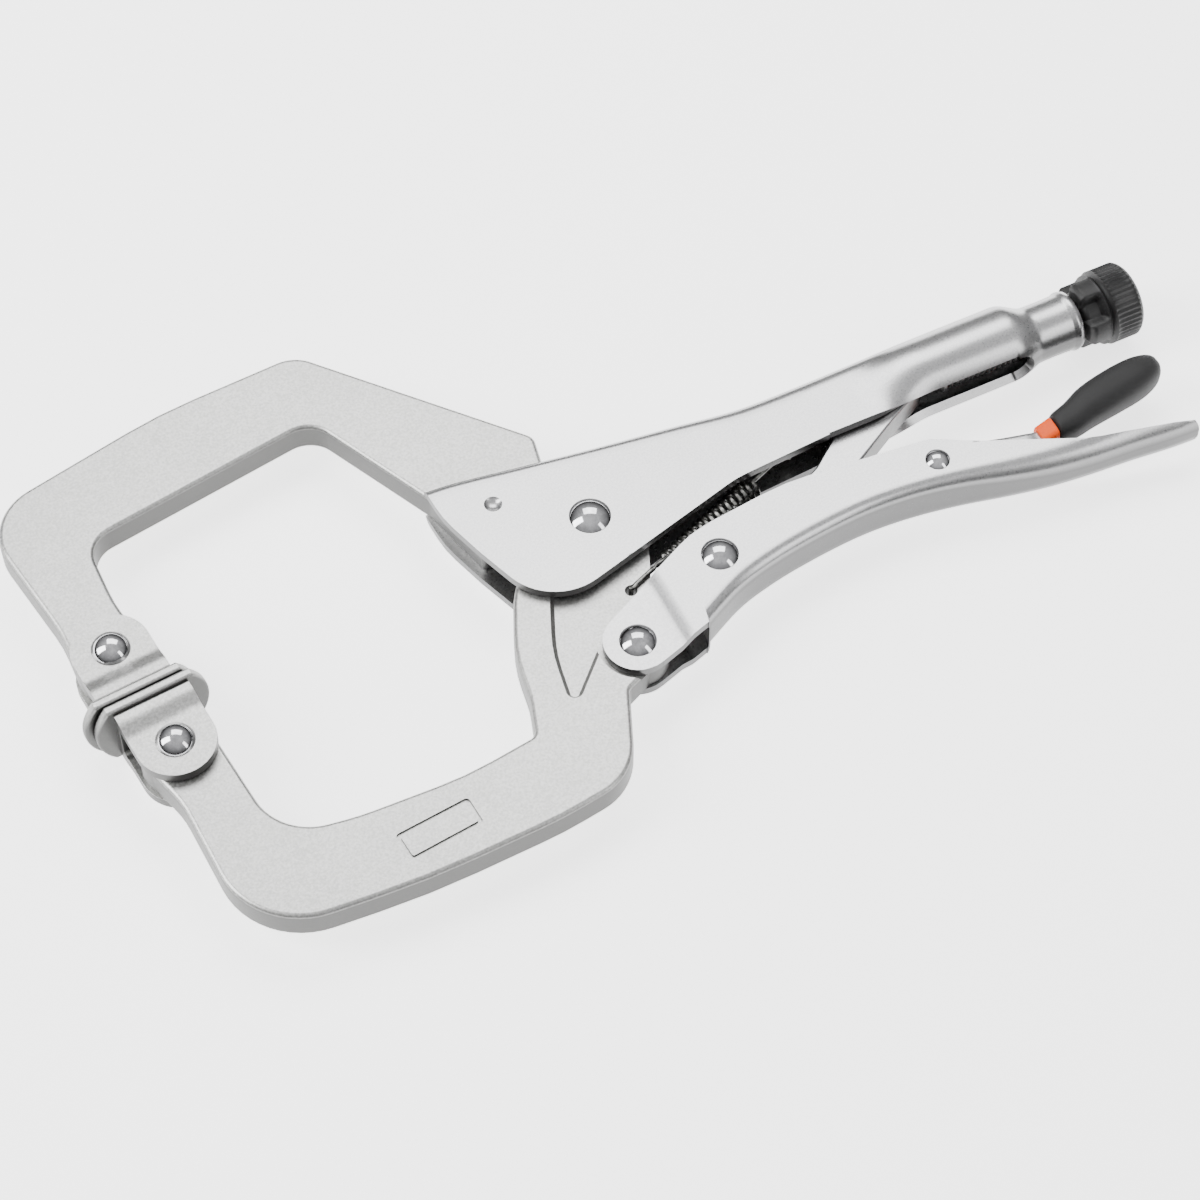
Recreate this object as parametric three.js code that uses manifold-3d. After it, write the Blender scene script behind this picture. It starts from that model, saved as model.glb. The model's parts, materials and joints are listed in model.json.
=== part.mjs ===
// Locking C-clamp pliers with swivel pads, lying on its side, in millimetres.
// X runs along the adjusting screw towards its knob, Y from the lower handle to the fixed handle, Z is the thickness.
import * as THREE from "three";
import { mergeVertices } from "three/addons/utils/BufferGeometryUtils.js";
import Module from "manifold-3d";

const wasm = await Module();
wasm.setup();

// ---- driving dimensions ----
// Pivots, counted from the main pivot. The link end meets the screw tip on the screw's own axis.
const mainPivot = [0, 0];
const handlePivot = [-5.2, -35];
const linkPivot = [22, -22.9];
const linkEnd = [85.5, 4.8];
const leverPivot = [80.2, -21.7];
const fixedPadPivot = [-113.2, 14.8];
const movingPadPivot = [-109.3, -14];
const springHole = [0.3, -20.7];
const springAnchor = [52.2, -0.8];
const screwAxisY = 4.8;

const cheekHalf = 6.5; // half the outside width of both folded handles
const sheet = 2.2; // handle sheet
const gap = 0.3; // clearance between pieces that lie side by side
const turnFit = 0.15; // radial clearance of a rivet shank in its hole
const jawHalf = 4; // half the thickness of the forged jaws
const jawSeatHalf = 3.85; // the fixed jaw where the handle or a pad covers it
const tangHalf = 2.75; // the moving jaw where the lower handle's ears cover it
const earHalf = 5.2; // outside half width over the lower handle's ears
const hubRadius = 13; // moving jaw round the main pivot
const earRadius = 8;
const earRoom = 1.3; // the recess round an ear, clear of the joggled cheek as the handle swings

const barrelRadius = 9.5;
const barrelAxisY = 5.4;
const barrelLipDepth = 8.1; // from the barrel's axis down to the edges of its slot
const collarRadius = 7.2;
const collarEnd = 132.8;
const threadRadius = 4.7;
const screwTip = 93.5;
const knobRadius = 9.4;
const knobStart = 134;
const knobEnd = 149.2;

const linkHalf = 3.6;
const linkSheet = 1.8;

const padTilt = 4.5; // degrees, both pads at rest
const padReach = 14.35; // pivot to contact face
const padRadius = 14;
const padHalf = 9.3; // half the width of the pad across its two ears
const padEarHalf = 7;
const padEarInner = 4.5;
const padEarRadius = 9.3;
const padPlate = 2.4;

const wireRadius = 0.6;
const coilRadius = 2.55;
const coilTurns = 16;
const coilPitch = 1.78;
const hookLift = 3.5; // the front hook runs outside the tang

const ROUND = 20; // facets of a full circle

// ---- shapes and solids ----
const degrees = THREE.MathUtils.degToRad;
const mix = THREE.MathUtils.lerp;
const smooth = (x, from, to) => THREE.MathUtils.smoothstep(x, from, to);

// A closed outline through corners [x, y, radius], each corner rounded by an arc.
function outline(corners) {
  const shape = new THREE.Shape();
  const n = corners.length;
  corners.forEach(([x, y, radius = 0], i) => {
    const corner = new THREE.Vector2(x, y);
    const before = new THREE.Vector2(...corners[(i + n - 1) % n]).sub(corner).normalize();
    const after = new THREE.Vector2(...corners[(i + 1) % n]).sub(corner).normalize();
    const half = Math.acos(THREE.MathUtils.clamp(before.dot(after), -1, 1)) / 2;
    if (!radius) {
      i ? shape.lineTo(x, y) : shape.moveTo(x, y);
      return;
    }
    const start = corner.clone().addScaledVector(before, radius / Math.tan(half));
    const end = corner.clone().addScaledVector(after, radius / Math.tan(half));
    const middle = before.clone().add(after).normalize();
    const centre = corner.clone().addScaledVector(middle, radius / Math.sin(half));
    i ? shape.lineTo(start.x, start.y) : shape.moveTo(start.x, start.y);
    const clockwise = before.cross(after) > 0;
    const angle = (p) => Math.atan2(p.y - centre.y, p.x - centre.x);
    shape.absarc(centre.x, centre.y, radius, angle(start), angle(end), clockwise);
  });
  shape.closePath();
  return shape;
}

const disc = ([x, y], radius) => new THREE.Shape().absarc(x, y, radius, 0, 2 * Math.PI);

function solidOf(geometry) {
  const bare = geometry.index ? geometry.toNonIndexed() : geometry.clone();
  bare.deleteAttribute("normal");
  bare.deleteAttribute("uv");
  const merged = mergeVertices(bare, 1e-4);
  return new wasm.Manifold(
    new wasm.Mesh({
      numProp: 3,
      vertProperties: merged.attributes.position.array,
      triVerts: new Uint32Array(merged.index.array),
    }),
  );
}

function geometryOf(solid) {
  const mesh = solid.getMesh();
  return new THREE.BufferGeometry()
    .setAttribute("position", new THREE.BufferAttribute(mesh.vertProperties, 3))
    .setIndex(new THREE.BufferAttribute(mesh.triVerts, 1));
}

// A plate between z = low and z = high, its edges rounded by edge.
function plate(shape, low, high, edge = 0, arcSteps = 3) {
  const geometry = new THREE.ExtrudeGeometry(shape, {
    depth: high - low - 2 * edge,
    bevelEnabled: edge > 0,
    bevelThickness: edge,
    bevelSize: edge,
    bevelOffset: -edge,
    bevelSegments: 1,
    curveSegments: arcSteps,
  });
  return solidOf(geometry.translate(0, 0, low + edge));
}

const bar = (centre, radius, half) => plate(disc(centre, radius), -half, half, 0, ROUND / 2);

function box(x0, x1, y0, y1, z0, z1) {
  const geometry = new THREE.BoxGeometry(x1 - x0, y1 - y0, z1 - z0);
  return solidOf(geometry.translate((x0 + x1) / 2, (y0 + y1) / 2, (z0 + z1) / 2));
}

// A solid through closed loops of points [x, y, z] that all hold the same count, capped at both ends.
function loft(loops) {
  const count = loops[0].length;
  const positions = loops.flat(2);
  const faces = [];
  for (let s = 0; s + 1 < loops.length; s++)
    for (let i = 0; i < count; i++) {
      const a = s * count + i;
      const b = s * count + ((i + 1) % count);
      faces.push(a, b, b + count, a, b + count, a + count);
    }
  const cap = (loop, first, reversed) => {
    const flat = loop.map(([, y, z]) => new THREE.Vector2(y, z));
    const along = THREE.ShapeUtils.area(flat) > 0;
    for (const corners of THREE.ShapeUtils.triangulateShape(flat, [])) {
      const same = THREE.ShapeUtils.area(corners.map((i) => flat[i])) > 0 === along;
      const wanted = same === reversed ? corners.toReversed() : corners;
      faces.push(...wanted.map((i) => first + i));
    }
  };
  cap(loops[0], 0, true);
  cap(loops.at(-1), (loops.length - 1) * count, false);
  const geometry = new THREE.BufferGeometry()
    .setAttribute("position", new THREE.Float32BufferAttribute(positions, 3))
    .setIndex(faces);
  const solid = solidOf(geometry);
  return solid.volume() > 0 ? solid : solidOf(geometry.setIndex(faces.toReversed()));
}

// A turned solid along X on the axis y, from a profile of [x, radius].
function turned(profile, y, steps = ROUND) {
  const points = profile.map(([x, radius]) => new THREE.Vector2(radius, x));
  const geometry = new THREE.LatheGeometry(points, steps);
  const solid = solidOf(geometry.rotateZ(-Math.PI / 2).translate(0, y, 0));
  return solid.volume() > 0 ? solid : solidOf(mirrored(geometry));
}

function mirrored(geometry) {
  const flipped = geometry.index ? geometry.toNonIndexed() : geometry.clone();
  const p = flipped.getAttribute("position");
  const a = new THREE.Vector3();
  const b = new THREE.Vector3();
  for (let i = 0; i < p.count; i += 3) {
    a.fromBufferAttribute(p, i);
    b.fromBufferAttribute(p, i + 1);
    p.setXYZ(i, b.x, b.y, b.z);
    p.setXYZ(i + 1, a.x, a.y, a.z);
  }
  return flipped;
}

// A value read off straight lines between stations [x, value].
function along(stations, x) {
  const next = stations.findIndex(([at]) => at >= x);
  if (next <= 0) return next ? stations.at(-1)[1] : stations[0][1];
  const [x0, v0] = stations[next - 1];
  const [x1, v1] = stations[next];
  return mix(v0, v1, (x - x0) / (x1 - x0));
}

// ---- finishes ----
const finish = (color, roughness, metalness) =>
  new THREE.MeshStandardMaterial({ color, roughness, metalness });
const satinNickel = finish(0xdcdcda, 0.35, 1);
const polishedRivet = finish(0xe6e6e8, 0.12, 1);
const springSteel = finish(0x9a9a98, 0.35, 1);
const blackPlastic = finish(0x252525, 0.6, 0);
const gripRubber = finish(0x383838, 0.7, 0);
const orangePlastic = finish(0xff5a10, 0.5, 0);

const pliers = new THREE.Group();
function piece(name, solid, material) {
  const mesh = new THREE.Mesh(geometryOf(solid), material);
  mesh.name = name;
  pliers.add(mesh);
}

// ---- folded channels ----
const WALL = 5; // steps down each wall, then round each bend and across half the back
const BEND = 2;
const BACK = 1;

// One side of a folded section from lip to middle of the back, as [height below the back, half width].
function foldedHalf(half, bend, depth) {
  const points = [];
  for (let i = 0; i < WALL; i++) points.push([mix(depth, bend, i / WALL), half]);
  for (let i = 0; i < BEND; i++) {
    const a = (i / BEND) * (Math.PI / 2);
    points.push([bend - bend * Math.sin(a), half - bend + bend * Math.cos(a)]);
  }
  for (let i = 0; i <= BACK; i++) points.push([0, mix(half - bend, 0, i / BACK)]);
  return points;
}

// The same count of points round a slotted tube, from its lip to its top.
function tubeHalf(radius, lipAngle) {
  const points = [];
  const at = (a) => points.push([radius - radius * Math.cos(a), radius * Math.sin(a)]);
  for (let i = 0; i < WALL; i++) at(mix(lipAngle, 0.85, i / WALL));
  for (let i = 0; i < BEND; i++) at(mix(0.85, 0.35, i / BEND));
  for (let i = 0; i <= BACK; i++) at(mix(0.35, 0, i / BACK));
  return points;
}

// Joins the outer and inner halves into one closed loop at x; up is +1 where the back is on top.
function channelLoop(x, back, up, outer, inner, thick) {
  const side = (half, drop, sign) =>
    half.map(([depth, z]) => [x, back - up * (depth + drop), sign * z]);
  const mirrorBack = (half, drop) => side(half, drop, -1).toReversed().slice(1);
  return [
    ...side(outer, 0, 1),
    ...mirrorBack(outer, 0),
    ...mirrorBack(inner, thick).toReversed(),
    ...side(inner, thick, 1).toReversed(),
  ];
}

// ---- fixed handle ----
// The handle's back, from its front end to the barrel.
const fixedBack = [
  [-34, 24.4],
  [-25, 23.8],
  [-10, 21.4],
  [10, 18.3],
  [30, 15.8],
  [45, 13.9],
  [60, 13.7],
  [74, 13.9],
];
const fixedSide = outline([
  [-31.4, 26, 1.5],
  [-30.9, 14.5, 30],
  [-27.2, 2, 60],
  [-19.4, -19.9, 14.5],
  [35.5, -5.5, 25],
  [62, -3.9],
  [62, -30],
  [118, -30],
  [118, 30],
  [-31.4, 30],
]);

function fixedHandle() {
  const lipAngle = Math.acos(-barrelLipDepth / barrelRadius);
  const stations = [-34, -25, -10, 0, 10, 20, 30, 38, 45, 52, 60, 61, 70];
  for (let x = 73; x <= 91; x += 3) stations.push(x);
  stations.push(102, 113);
  const loops = stations.map((x) => {
    const round = smooth(x, 72, 91);
    const bend = mix(2, 4, smooth(x, 0, 60));
    const top = mix(along(fixedBack, x), barrelAxisY + barrelRadius, round);
    const depth = top - (x < 60.5 ? -24 : -3.6);
    const blend = (flat, tube) =>
      flat.map(([d, z], i) => [mix(d, tube[i][0], round), mix(z, tube[i][1], round)]);
    const outer = blend(foldedHalf(cheekHalf, bend, depth), tubeHalf(barrelRadius, lipAngle));
    const innerBend = Math.max(bend - sheet, 0.4);
    const inner = blend(
      foldedHalf(cheekHalf - sheet, innerBend, depth - sheet),
      tubeHalf(barrelRadius - sheet, lipAngle),
    );
    return channelLoop(x, top, 1, outer, inner, sheet);
  });
  const channel = loft(loops).intersect(plate(fixedSide, -15, 15));

  const ringSteps = 28;
  // The barrel closes, necks down and ends in the threaded collar with its rolled rim.
  const ring = (x, radius, y) =>
    Array.from({ length: ringSteps }, (_, i) => {
      const a = (i / ringSteps) * 2 * Math.PI;
      return [x, y + radius * Math.cos(a), radius * Math.sin(a)];
    });
  const neck = [
    [111.5, barrelRadius, barrelAxisY],
    [115, barrelRadius - 0.1, barrelAxisY],
    [117.5, barrelRadius - 0.8, 5.2],
    [119.5, barrelRadius - 1.7, 5],
    [121.2, collarRadius, screwAxisY],
    [130.6, collarRadius, screwAxisY],
    [131.3, collarRadius + 0.35, screwAxisY],
    [132.3, collarRadius + 0.35, screwAxisY],
    [collarEnd, collarRadius, screwAxisY],
  ];
  const hollow = [
    [111, barrelRadius - sheet, barrelAxisY],
    [116, barrelRadius - sheet, barrelAxisY],
    [120, threadRadius + gap, screwAxisY],
    [collarEnd + 1, threadRadius + gap, screwAxisY],
  ];
  const tube = loft(neck.map((s) => ring(...s))).subtract(loft(hollow.map((s) => ring(...s))));
  const slotHalf = 4.4;
  const slotShape = outline([
    [105, -slotHalf],
    [118.2, -slotHalf, 4.3],
    [118.2, slotHalf, 4.3],
    [105, slotHalf],
  ]);
  const slotGeometry = new THREE.ExtrudeGeometry(slotShape, {
    depth: 14,
    bevelEnabled: false,
    curveSegments: 3,
  });
  const slot = solidOf(slotGeometry.rotateX(Math.PI / 2).translate(0, 1, 0));

  // Tongue bent down from the back that holds the return spring's rear hook.
  const tongue = plate(
    outline([
      [50, 14],
      [50, -3.4, 2],
      [54.6, -3.4, 2],
      [57, 14],
    ]),
    -0.9,
    0.9,
  ).subtract(bar(springAnchor, 1.1, 3));

  return channel
    .add(tube.subtract(slot))
    .add(tongue)
    .subtract(box(-40, -1.8, -2, 40, -cheekHalf + sheet, cheekHalf - sheet))
    .subtract(bar(mainPivot, 3.5 + turnFit, 12));
}

// ---- jaws ----
// The fixed jaw's C arm, its shank between the cheeks and its rounded tip.
const fixedJawShape = outline([
  [-122, 14.8],
  [-121.5, 26, 40],
  [-127.3, 64.2, 14.5],
  [-78, 74.3, 120],
  [-42, 76.1, 9.5],
  [-0.8, 28.4, 3.4],
  [-3.1, 17],
  [-3.1, 3],
  [-26, 3, 1.5],
  [-30.7, 22.4, 6],
  [-46.5, 55.8, 7.5],
  [-106.9, 46.6, 7],
  [-107.3, 27, 40],
  [-104.4, 14.8],
]);
// Where the jaw stands free of the handle and of its pad.
const fixedJawBare = outline([
  [-140, 25.3],
  [-114.5, 25.3],
  [-102, 25.3],
  [-60, 20],
  [-33.6, 20],
  [-33.6, 24.4],
  [-25, 25.4],
  [-10, 22.9],
  [5, 20.6],
  [5, 90],
  [-140, 90],
]);

function fixedJaw() {
  const core = plate(fixedJawShape, -jawSeatHalf, jawSeatHalf, 1)
    .add(plate(disc(fixedPadPivot, 8.8), -jawSeatHalf, jawSeatHalf, 1, 12))
    .subtract(bar(mainPivot, hubRadius + 0.7, 12));
  const arm = plate(fixedJawShape, -jawHalf, jawHalf, 1.1).intersect(plate(fixedJawBare, -9, 9));
  return core.add(arm).subtract(bar(fixedPadPivot, 2.6 + turnFit, 12));
}

const movingJawShape = outline([
  [-12, 3],
  [-19.6, -3.2, 3],
  [-25.4, -11.6, 25],
  [-31.6, -25, 40],
  [-33.5, -37, 20],
  [-36.7, -46.6, 2.2],
  [-55, -48.9, 80],
  [-80, -47.8, 60],
  [-97.8, -45, 14],
  [-100.7, -14],
  [-118, -14],
  [-114, -28, 25],
  [-112.9, -66, 20],
  [-73, -69.4, 200],
  [-40, -68.4, 100],
  [-21.2, -65.8, 15],
  [-12.3, -45.2, 2],
  [-6, -42.4],
  [2.1, -35],
  [5, -21.5, 6],
  [12, -6],
  [0, 8],
]);
// The forged step down to the thin tang, on both faces.
const tangStep = outline([
  [-11, -5],
  [-17.2, -16.3, 40],
  [-22.6, -28.5, 40],
  [-25.1, -42.9, 1],
  [-11.1, -29.2],
  [-5.2, -35],
  [16, -48],
  [16, -5],
]);

function movingJaw() {
  const body = plate(movingJawShape, -jawHalf, jawHalf, 1.1)
    .add(plate(disc(mainPivot, hubRadius), -jawHalf, jawHalf, 0.6, 16))
    .add(plate(disc(handlePivot, earRadius - 0.6), -jawHalf, jawHalf, 0.6, 12))
    .add(plate(disc(movingPadPivot, 8.6), -jawHalf, jawHalf, 1.1, 12));
  const hub = bar(mainPivot, hubRadius + 0.1, 12);
  const recess = (low, high) =>
    plate(tangStep, low, high)
      .add(plate(disc(handlePivot, earRadius + earRoom), low, high, 0, 14))
      .subtract(hub);
  return body
    .subtract(recess(tangHalf, 12))
    .subtract(recess(-12, -tangHalf))
    .subtract(bar(mainPivot, 3.5 + turnFit, 12))
    .subtract(bar(handlePivot, 3 + turnFit, 12))
    .subtract(bar(movingPadPivot, 2.6 + turnFit, 12))
    .subtract(bar(springHole, 1.5, 12));
}

// ---- lower handle ----
const lowerBack = [
  [-16, -62],
  [6.8, -62],
  [12, -37.6],
  [23, -32.3],
  [33, -29.6],
  [43, -28],
  [55, -26.9],
  [64, -26.9],
  [74, -27.9],
  [84, -29.9],
  [94, -32.6],
  [104, -34.9],
  [114, -36.3],
  [126, -37.2],
  [136, -38.2],
  [144, -38.6],
];
const lowerSide = outline([
  [-8.6, -27.7],
  [19.5, -14.4, 30],
  [45, -11.7, 60],
  [81.5, -15.5, 14],
  [91.4, -21.2, 20],
  [115.5, -32.1, 25],
  [145, -38],
  [145, -50],
  [14, -50],
  [12.4, -37.9],
  [11, -38.4],
  [-2.6, -42.6],
  [-5.2, -35],
]);

function lowerHandle() {
  const stations = [-16, 3.4, ...lowerBack.slice(1).map(([x]) => x)];
  const loops = stations.map((x) => {
    const half = x < 5 ? earHalf : cheekHalf;
    const bend = mix(3.2, 5.6, smooth(x, 70, 118));
    const back = along(lowerBack, x);
    const depth = -8 - back; // the side outline below trims the lips
    return channelLoop(
      x,
      back,
      -1,
      foldedHalf(half, bend, depth),
      foldedHalf(half - sheet, bend - sheet, depth - sheet),
      sheet,
    );
  });
  const ears = plate(disc(handlePivot, earRadius), -12, 12, 0, 16);
  const tailPlan = new THREE.ExtrudeGeometry(
    outline([
      [-20, -12],
      [142.6, -7.2, 6.4],
      [142.6, 7.2, 6.4],
      [-20, 12],
    ]),
    { depth: 60, bevelEnabled: false, curveSegments: 5 },
  );
  const tail = solidOf(tailPlan.rotateX(Math.PI / 2));
  return loft(loops)
    .intersect(plate(lowerSide, -12, 12).add(ears))
    .intersect(tail)
    .subtract(bar(handlePivot, 3 + turnFit, 12))
    .subtract(bar(linkPivot, 3 + turnFit, 12))
    .subtract(bar(leverPivot, 2.2 + turnFit, 12));
}

// ---- toggle link ----
// A folded link whose back faces the lower handle. It bows down between its two ends.
const linkShape = outline([
  [17, -18.2, 5.6],
  [37.6, -10.6, 20],
  [53, -10.6, 10],
  [78, 8.8, 8],
  [linkEnd[0] + 4.4, 9.6, 4.4],
  [linkEnd[0] + 4.4, 0.8, 4.4],
  [79, -4.4, 20],
  [63.5, -13, 20],
  [52, -20.5, 20],
  [30, -27.6, 10],
  [18, -29.2, 5.6],
]);
const linkHollow = outline([
  [10, -18.2],
  [10, -34],
  [28, -26.9, 4],
  [51, -18.4, 14],
  [63, -10.7, 14],
  [78, -2.4, 4],
  [78, 14],
  [45, 8],
]);

function toggleLink() {
  return plate(linkShape, -linkHalf, linkHalf, 0.6)
    .subtract(plate(linkHollow, linkSheet - linkHalf, linkHalf - linkSheet))
    .subtract(bar(linkPivot, 3 + turnFit, 12));
}

// ---- release lever, its coloured collar and its grip ----
// Stations along the lever: x, middle height, half height, half width.
const leverStations = [
  [63.6, -19, 1.4, 3],
  [66, -19.6, 2.3, 3.6],
  [72, -20.8, 3.4, 3.8],
  [76.5, -21.5, 4.6, 3.8],
  [84, -21.9, 4.8, 3.8],
  [90, -21.4, 3.4, 3.4],
  [97, -22.6, 2.8, 2.8],
  [105, -23.9, 2.4, 2.2],
  [107, -23.7, 2, 1.8],
  [126, -20.6, 2, 1.8],
  [134, -19.2, 1.6, 1.8],
];
const gripStations = [
  [112.3, -22.6, 3.1, 3.3],
  [113.1, -22.5, 3.5, 3.8],
  [117, -21.9, 4.1, 4.2],
  [122.6, -20.2, 4.8, 4.6],
  [130, -18.9, 5.1, 4.9],
  [137, -18, 4.9, 4.9],
  [141.2, -17.5, 4, 4.3],
  [143.5, -17.2, 2.7, 3.2],
  [144.6, -17, 1, 1.4],
];
const collarStations = [
  [107.4, -23.5, 2.7, 2.6],
  [112, -22.7, 2.9, 2.9],
];

// A rounded bar through stations; power 2 is an ellipse and higher powers are squarer.
function roundedBar(stations, power, steps, grow = 0) {
  const round = (v) => Math.sign(v) * Math.abs(v) ** (2 / power);
  return loft(
    stations.map(([x, y, high, wide]) =>
      Array.from({ length: steps }, (_, i) => {
        const a = ((i + 0.5) / steps) * 2 * Math.PI;
        return [x, y + (high + grow) * round(Math.cos(a)), (wide + grow) * round(Math.sin(a))];
      }),
    ),
  );
}

const leverClearance = () => roundedBar(leverStations.slice(7), 5, 20, gap);

// ---- swivel pads ----
// Built with the pivot at the origin and the contact face towards -Y.
function pad() {
  const foot = padPlate - padReach;
  const rim = (radius, half, from, to, edge) => {
    const shape = outline([
      [-radius, -half, 4],
      [radius, -half, 4],
      [radius, half, 4],
      [-radius, half, 4],
    ]);
    const round = plate(disc([0, 0], radius), from, to, edge, 12);
    return round.intersect(plate(shape, from, to, edge));
  };
  const upright = (solid) =>
    solid.transform([1, 0, 0, 0, 0, 0, 1, 0, 0, -1, 0, 0, 0, 0, 0, 1]);
  // The plate of the pad lies in the X-Z plane; its truncated sides carry the ears.
  const shoe = upright(rim(padRadius, padHalf, -foot, padReach, 0.7));
  // Each ear climbs from the plate, steps inwards and ends in a half circle round the rivet.
  const bracketHalf = padHalf - 1;
  const section = outline([
    [foot - 0.4, bracketHalf],
    [foot + 3.4, bracketHalf, 1.2],
    [foot + 5.4, padEarHalf, 1.2],
    [padEarRadius + 1, padEarHalf],
    [padEarRadius + 1, padEarInner],
    [foot + 4.4, padEarInner, 1],
    [foot + 2.2, padEarInner + 0.9, 1],
    [foot + 2.2, -padEarInner - 0.9, 1],
    [foot + 4.4, -padEarInner, 1],
    [padEarRadius + 1, -padEarInner],
    [padEarRadius + 1, -padEarHalf],
    [foot + 5.4, -padEarHalf, 1.2],
    [foot + 3.4, -bracketHalf, 1.2],
    [foot - 0.4, -bracketHalf],
  ]);
  const folded = new THREE.ExtrudeGeometry(section, {
    depth: 2 * padEarRadius,
    bevelEnabled: false,
    curveSegments: 2,
  });
  // The section's first axis is Y and its second is Z, and the fold runs along X.
  const bracket = solidOf(
    folded.translate(0, 0, -padEarRadius).applyMatrix4(
      new THREE.Matrix4().set(0, 0, 1, 0, 1, 0, 0, 0, 0, 1, 0, 0, 0, 0, 0, 1),
    ),
  );
  const earSide = outline([
    [-padEarRadius, foot - 1],
    [padEarRadius, foot - 1],
    [padEarRadius, padEarRadius, padEarRadius - 0.1],
    [-padEarRadius, padEarRadius, padEarRadius - 0.1],
  ]);
  return shoe
    .add(bracket.intersect(plate(earSide, -12, 12, 0, 8)))
    .subtract(bar([0, 0], 2.6 + turnFit, 12));
}

function placedPad(name, [x, y], turn) {
  const mesh = new THREE.Mesh(geometryOf(pad()), satinNickel);
  mesh.name = name;
  mesh.position.set(x, y, 0);
  mesh.rotation.z = degrees(turn);
  pliers.add(mesh);
}

// ---- rivets ----
// A rivet across the tool: a shank and two domed heads whose undersides stand at +-seat.
function rivet(name, [x, y], shank, headRadius, headHeight, seat) {
  const under = seat + 0.1;
  const ball = (headRadius ** 2 + headHeight ** 2) / (2 * headHeight);
  const spread = Math.asin(Math.min(headRadius / ball, 1));
  const dome = [];
  for (let i = 0; i <= 4; i++) {
    const a = spread * (1 - i / 4);
    const radius = i === 4 ? 0 : ball * Math.sin(a);
    dome.push([radius, under + headHeight - ball * (1 - Math.cos(a))]);
  }
  const upper = [[shank, 0], [shank, under], ...dome];
  const lower = upper.slice(1).map(([r, z]) => [r, -z]).toReversed();
  const points = [...lower, ...upper.slice(1)].map(([r, z]) => new THREE.Vector2(r, z));
  const geometry = new THREE.LatheGeometry(points, ROUND).rotateX(Math.PI / 2);
  const solid = solidOf(geometry);
  const mesh = new THREE.Mesh(
    geometryOf(solid.volume() > 0 ? solid : solidOf(mirrored(geometry))),
    polishedRivet,
  );
  mesh.name = name;
  mesh.position.set(x, y, 0);
  pliers.add(mesh);
}

// ---- return spring ----
class SpringLine extends THREE.Curve {
  getPoint(t, target = new THREE.Vector3()) {
    const from = new THREE.Vector3(...springHole, 0);
    const to = new THREE.Vector3(...springAnchor, 0);
    const way = to.clone().sub(from);
    const length = way.length();
    way.normalize();
    const side = new THREE.Vector3(-way.y, way.x, 0);
    const coil = coilTurns * coilPitch;
    const start = (length - coil) / 2;
    const s = t * length;
    const turn = THREE.MathUtils.clamp((s - start) / coil, 0, 1);
    const a = turn * coilTurns * 2 * Math.PI;
    const lift = mix(hookLift, coilRadius, smooth(s, start - 4, start));
    return target
      .copy(from)
      .addScaledVector(way, s)
      .addScaledVector(side, coilRadius * Math.sin(a))
      .add(new THREE.Vector3(0, 0, (turn > 0 ? coilRadius : lift) * Math.cos(a)));
  }
}

function returnSpring() {
  const wire = new THREE.Shape().absarc(0, 0, wireRadius, 0, 2 * Math.PI);
  const line = new SpringLine();
  line.arcLengthDivisions = 2000;
  const coil = new THREE.ExtrudeGeometry(wire, {
    steps: 190,
    curveSegments: 2,
    extrudePath: line,
  });
  const hook = ([x, y], top) => plate(disc([x, y], wireRadius), -1.6, top + 0.3, 0, 3);
  const solid = solidOf(coil);
  const outward = solid.volume() > 0 ? solid : solidOf(mirrored(coil));
  return outward.add(hook(springHole, hookLift)).add(hook(springAnchor, coilRadius));
}

// ---- adjusting screw and knob ----
function adjustingScrew() {
  return turned(
    [
      [screwTip, 0],
      [screwTip, threadRadius - 1.6],
      [screwTip + 1.6, threadRadius],
      [knobStart - 0.6, threadRadius],
      [knobStart - 0.6, 3.4],
      [knobStart + 9, 3.4],
      [knobStart + 9, 0],
    ],
    screwAxisY,
  );
}

function screwKnob() {
  const body = turned(
    [
      [knobStart, 0],
      [knobStart, knobRadius - 1.4],
      [knobStart + 1.2, knobRadius - 0.3],
      [knobStart + 7, knobRadius],
      [knobEnd - 2.4, knobRadius],
      [knobEnd - 0.8, knobRadius - 0.8],
      [knobEnd, knobRadius - 2.6],
      [knobEnd, 0],
    ],
    screwAxisY,
    28,
  );
  const pockets = [0, 1, 2, 3].map((i) =>
    box(knobStart - 1, knobStart + 5.2, 6.6, 12, -3, 3)
      .rotate([i * 90 + 35, 0, 0])
      .translate([0, screwAxisY, 0]),
  );
  const bore = turned(
    [
      [knobStart - 1, 0],
      [knobStart - 1, 3.4 + gap],
      [knobStart + 9 + gap, 3.4 + gap],
      [knobStart + 9 + gap, 0],
    ],
    screwAxisY,
  );
  return pockets.reduce((knob, pocket) => knob.subtract(pocket), body).subtract(bore);
}

// ---- assembly ----
piece("fixed_handle", fixedHandle(), satinNickel);
piece("fixed_jaw", fixedJaw(), satinNickel);
piece("moving_jaw", movingJaw(), satinNickel);
piece("lower_handle", lowerHandle(), satinNickel);
piece("toggle_link", toggleLink(), satinNickel);
piece("release_lever", roundedBar(leverStations, 5, 20).subtract(bar(leverPivot, 2.35, 12)), satinNickel);
piece("grip_collar", roundedBar(collarStations, 4, 20).subtract(leverClearance()), orangePlastic);
piece("release_lever_grip", roundedBar(gripStations, 2.6, 24).subtract(leverClearance()), gripRubber);
piece("adjusting_screw", adjustingScrew(), satinNickel);
piece("screw_knob", screwKnob(), blackPlastic);
piece("return_spring", returnSpring(), springSteel);
placedPad("fixed_pad", fixedPadPivot, padTilt);
placedPad("moving_pad", movingPadPivot, padTilt + 180);
rivet("main_pivot_rivet", mainPivot, 3.5, 4.9, 2.3, cheekHalf);
rivet("handle_pivot_rivet", handlePivot, 3, 4.3, 2.1, earHalf);
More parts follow.
